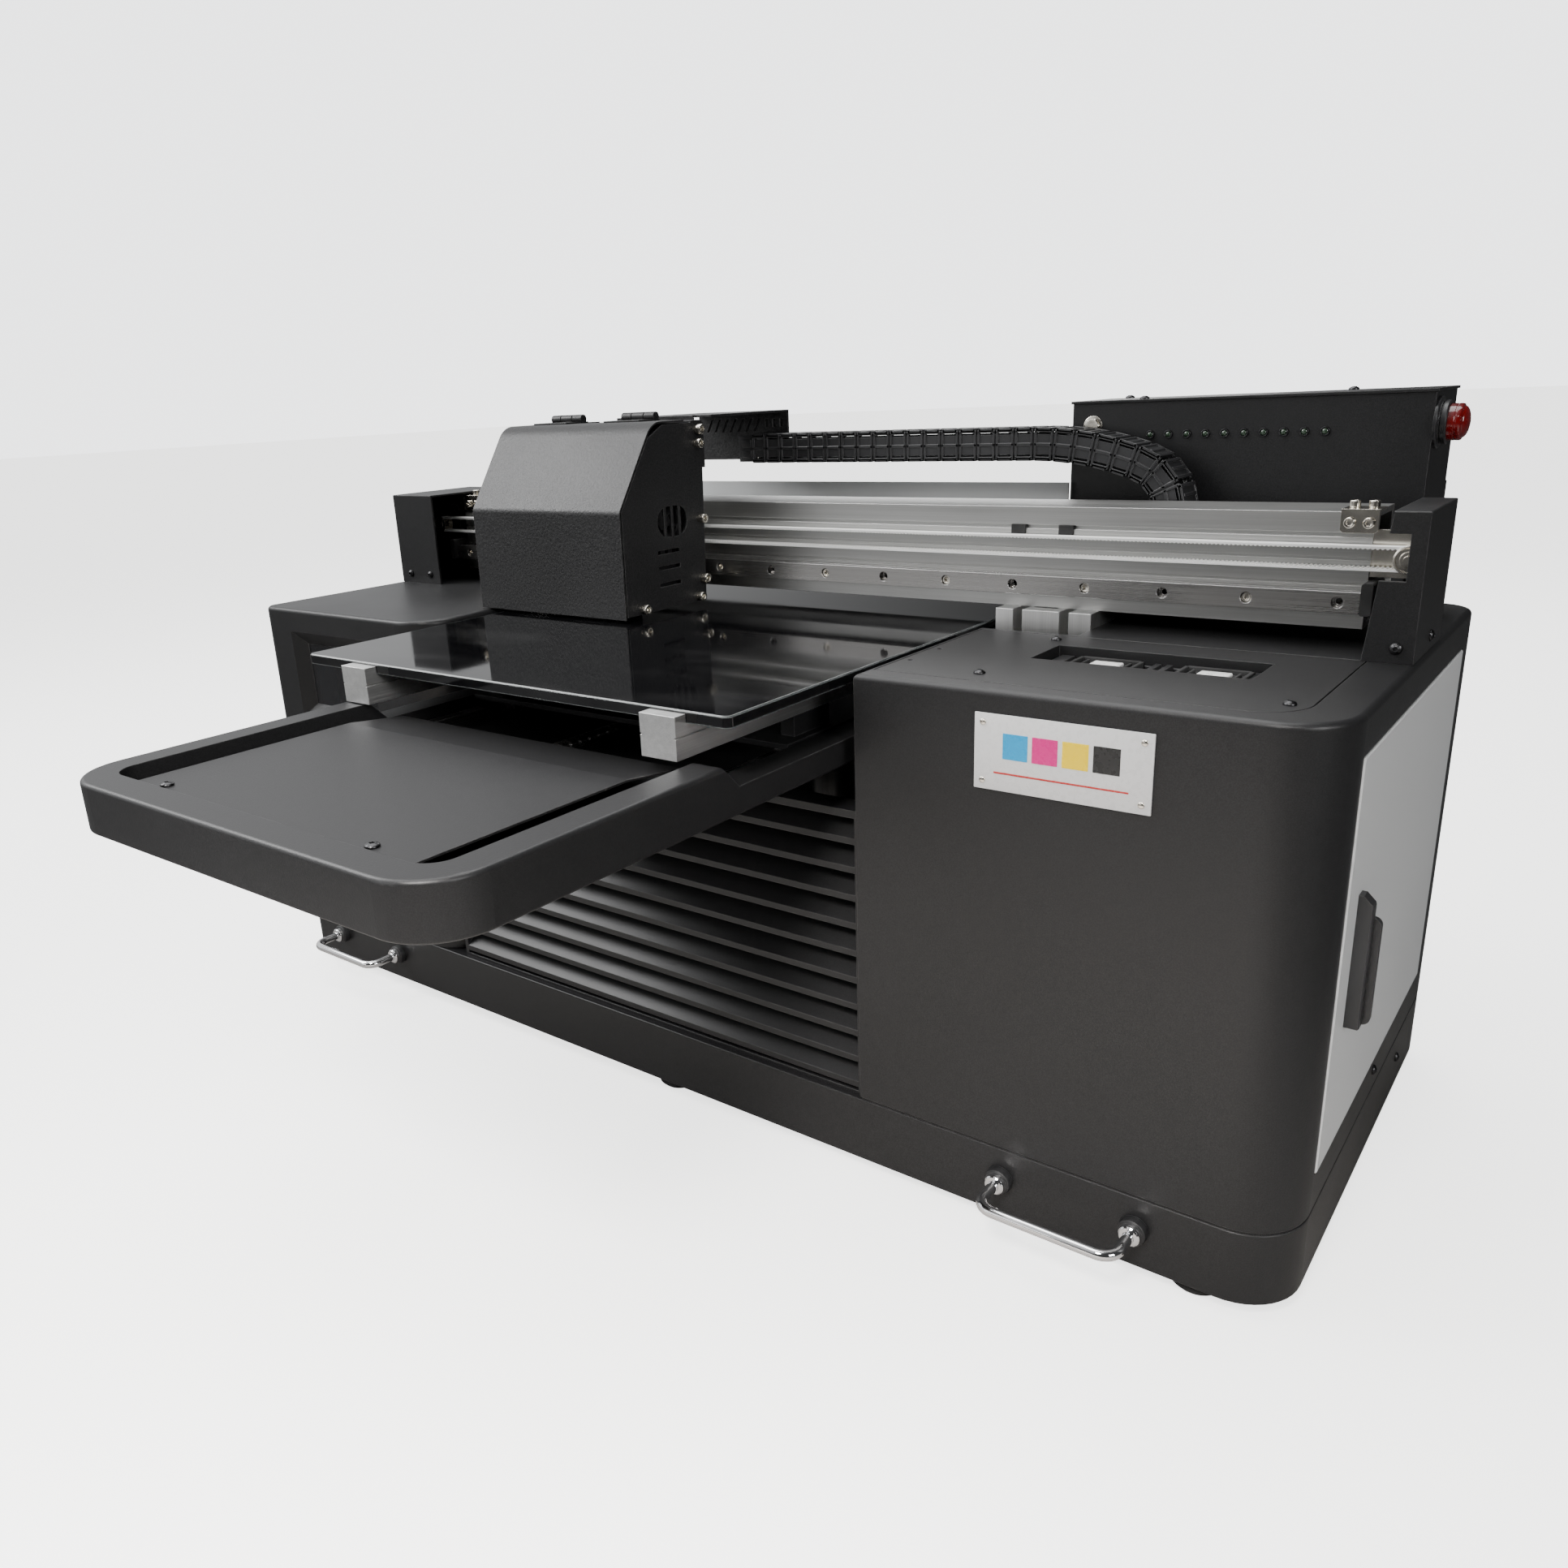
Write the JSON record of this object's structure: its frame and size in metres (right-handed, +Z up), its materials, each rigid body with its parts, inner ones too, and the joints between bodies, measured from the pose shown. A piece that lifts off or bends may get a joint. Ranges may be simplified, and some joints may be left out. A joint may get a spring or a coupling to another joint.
{
  "type": "flatbed uv printer",
  "caption": "Desktop flatbed UV printer: glass table on a front tray between two cabinets, print carriage on a gantry beam, electronics box at the rear",
  "frame": {"origin": "middle of the footprint, on the floor under the rubber feet", "axes": "+X along the gantry towards the capping side, +Y from the front tray to the rear, +Z up"},
  "size_m": [1.068, 0.794, 0.575],
  "materials": {
    "black_coat": "satin black powder coat with a fine orange peel",
    "textured_black": "coarse textured black powder coat",
    "grey_door": "light grey satin paint",
    "aluminium": "extruded aluminium, silver anodised",
    "steel": "ground steel",
    "nickel": "nickel plated",
    "chrome": "polished chrome",
    "black_plastic": "moulded black plastic",
    "ink_plastic": "ink tank plastic",
    "rubber": "black rubber",
    "smoked_glass": "smoked window, glossy",
    "table_glass": "black float glass, polished edges",
    "belt": "white polyurethane belt",
    "white_pad": "white pads in a black frame",
    "red_plastic": "translucent red plastic",
    "pcb": "green circuit board",
    "black_screw": "black oxide steel",
    "brushed_plate": "brushed aluminium plate"
  },
  "bodies": {
    "machine": {"base_plinth": "black_coat", "rubber_feet": "rubber", "right_cabinet_shell": "black_coat", "left_cabinet_shell": "black_coat", "ink_window": "smoked_glass", "ink_bottles": "ink_plastic", "capping_bay_panel": "black_coat", "louvre_panel": "black_coat", "rear_panel": "black_coat", "front_handles": "chrome", "handle_bosses": "black_coat", "nameplate": "brushed_plate", "power_inlet": "black_plastic", "panel_screws": "black_screw", "bright_screws": "nickel", "gantry_beam": "aluminium", "beam_posts": "aluminium", "x_rail": "steel", "beam_brackets": "nickel", "left_end_cover": "black_coat", "right_end_cover": "black_coat", "x_motor": "black_coat", "x_belt": "belt", "rail_stops": "rubber", "chain_trough": "grey_door", "drag_chain": "black_plastic", "electronics_box": "black_coat", "electronics_lid": "black_coat", "indicator_lights": "black_plastic", "button_collar": "black_plastic", "control_board": "pcb", "lift_motor": "black_coat", "lift_guide_rods": "steel"},
    "bed": {"bed_frame": "black_coat", "bed_cover_plate": "black_coat", "cover_screws": "black_screw", "y_rails": "steel", "y_motor": "black_coat"},
    "table": {"table_glass": "table_glass", "table_bars": "aluminium", "table_saddle": "black_coat", "y_guide_blocks": "steel"},
    "table_drive": {"y_ball_screw": "steel"},
    "bed_drive": {"lift_screw": "steel"},
    "carriage": {"carriage_shell": "textured_black", "carriage_bolts": "nickel", "carriage_plate": "aluminium", "print_heads": "black_plastic", "uv_lamps": "black_coat", "x_guide_blocks": "steel", "chain_arm": "textured_black"},
    "cover": {"carriage_cover": "textured_black", "cover_hinges": "black_coat"},
    "drive_pulley": {"x_drive_pulley": "aluminium"},
    "idler_pulley": {"x_idler_pulley": "aluminium"},
    "right_side_door": {"right_door": "grey_door", "right_door_handle": "black_plastic"},
    "left_side_door": {"left_door": "grey_door"},
    "caps": {"capping_station": "white_pad"},
    "push_button": {"button_cap": "red_plastic"}
  },
  "joints": [
    {"name": "bed_lift", "type": "slide", "parent": "machine", "child": "bed", "axis": [0, 0, 1], "range_m": [-0.03, 0]},
    {"name": "table_feed", "type": "slide", "parent": "bed", "child": "table", "axis": [0, 1, 0], "range_m": [-0.23, 0.12]},
    {"name": "table_screw_turn", "type": "hinge", "parent": "bed", "child": "table_drive", "pos_m": [0.003, 0, 0.341], "axis": [0, 1, 0], "continuous": true},
    {"name": "lift_screw_turn", "type": "hinge", "parent": "machine", "child": "bed_drive", "pos_m": [0.003, 0.165, 0.2], "axis": [0, 0, 1], "continuous": true},
    {"name": "carriage_travel", "type": "slide", "parent": "machine", "child": "carriage", "axis": [1, 0, 0], "range_m": [-0.155, 0.547]},
    {"name": "cover_hinge", "type": "hinge", "parent": "carriage", "child": "cover", "pos_m": [-0.179, 0.152, 0.571], "axis": [-1, 0, 0], "range_deg": [0, 100]},
    {"name": "drive_pulley_turn", "type": "hinge", "parent": "machine", "child": "drive_pulley", "pos_m": [-0.488, 0.189, 0.4615], "axis": [0, 1, 0], "continuous": true},
    {"name": "idler_pulley_turn", "type": "hinge", "parent": "machine", "child": "idler_pulley", "pos_m": [0.502, 0.189, 0.4615], "axis": [0, 1, 0], "continuous": true},
    {"name": "right_door_hinge", "type": "hinge", "parent": "machine", "child": "right_side_door", "pos_m": [0.5145, 0.3435, 0.235], "axis": [0, 0, 1], "range_deg": [0, 100]},
    {"name": "left_door_hinge", "type": "hinge", "parent": "machine", "child": "left_side_door", "pos_m": [-0.5145, 0.3435, 0.235], "axis": [0, 0, -1], "range_deg": [0, 100]},
    {"name": "caps_lift", "type": "slide", "parent": "machine", "child": "caps", "axis": [0, 0, 1], "range_m": [0, 0.005]},
    {"name": "button_push", "type": "slide", "parent": "machine", "child": "push_button", "axis": [-1, 0, 0], "range_m": [0, 0.004]}
  ],
  "couplings": [
    {"joint": "table_screw_turn", "follows": "table_feed", "rad_per_m": 628.32},
    {"joint": "lift_screw_turn", "follows": "bed_lift", "rad_per_m": 1256.6},
    {"joint": "drive_pulley_turn", "follows": "carriage_travel", "rad_per_m": -133.33},
    {"joint": "idler_pulley_turn", "follows": "carriage_travel", "rad_per_m": -133.33}
  ]
}
